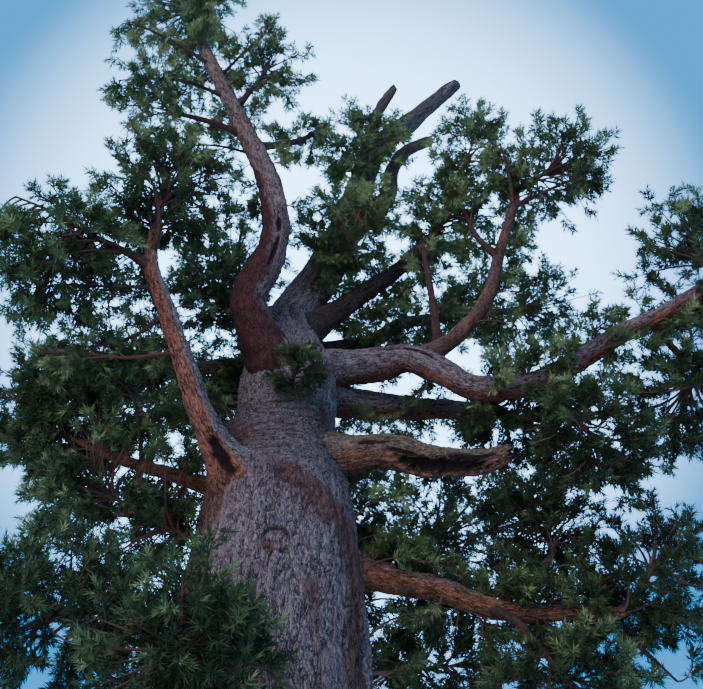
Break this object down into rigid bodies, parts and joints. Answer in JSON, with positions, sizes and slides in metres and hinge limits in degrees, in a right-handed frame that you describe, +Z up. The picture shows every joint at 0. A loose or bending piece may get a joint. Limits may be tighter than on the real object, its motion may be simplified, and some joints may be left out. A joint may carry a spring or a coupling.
{
  "type": "giant sequoia tree",
  "caption": "Old storm-broken conifer with a massive flared trunk, a dead leaning spike, bent upswept boughs and separate rounded masses of scale-leaved foliage.",
  "frame": {"origin": "centre of the flat cut under the trunk, at ground level", "axes": "+Z up, +X towards the side the dead spike leans to, -Y towards the viewer of the picture"},
  "size_m": [24.9096, 16.7684, 39.9871],
  "materials": {
    "trunk_bark": "fibrous furrowed grey-mauve bark",
    "bough_bark": "flaky red-brown bark with grey plates",
    "dead_wood": "weathered bare wood",
    "foliage": "matt scale-like needles on thin twigs"
  },
  "bodies": {
    "root": {"trunk": "trunk_bark", "leader_left": "bough_bark", "leader_left_fork": "bough_bark", "leader_left_inner": "bough_bark", "leader_left_outer": "bough_bark", "left_high": "bough_bark", "left_high_fork": "bough_bark", "left_low": "bough_bark", "left_back": "bough_bark", "front_low": "bough_bark", "right_high": "bough_bark", "right_outer": "bough_bark", "right_riser": "bough_bark", "right_riser_fork": "bough_bark", "right_riser_side": "bough_bark", "right_mid": "bough_bark", "right_hanging": "bough_bark", "right_far": "bough_bark", "right_broken": "dead_wood", "right_low": "bough_bark", "right_low_rise": "bough_bark", "right_low_droop": "bough_bark", "top_right": "bough_bark", "top_right_back": "bough_bark", "snag_hook": "dead_wood", "snag_short": "dead_wood", "back_1": "bough_bark", "back_2": "bough_bark", "back_3": "bough_bark", "back_4": "bough_bark", "crown_left_top": "foliage", "crown_left_outer": "foliage", "crown_left_inner": "foliage", "crown_left_high": "foliage", "crown_left_edge": "foliage", "crown_left_low": "foliage", "crown_left_under": "foliage", "crown_left_back": "foliage", "crown_front": "foliage", "crown_front_left": "foliage", "crown_right_outer": "foliage", "crown_right_riser": "foliage", "crown_right_side": "foliage", "crown_right_mid": "foliage", "crown_right_hanging": "foliage", "crown_right_far": "foliage", "crown_right_low": "foliage", "crown_right_rise": "foliage", "crown_right_droop": "foliage", "crown_right_lowest": "foliage", "crown_top_right": "foliage", "crown_top_back": "foliage", "crown_spike": "foliage", "crown_heart": "foliage", "crown_heart_left": "foliage", "trunk_tuft": "foliage", "crown_back_1": "foliage", "crown_back_2": "foliage", "crown_back_3": "foliage", "crown_back_4": "foliage"}
  },
  "joints": []
}
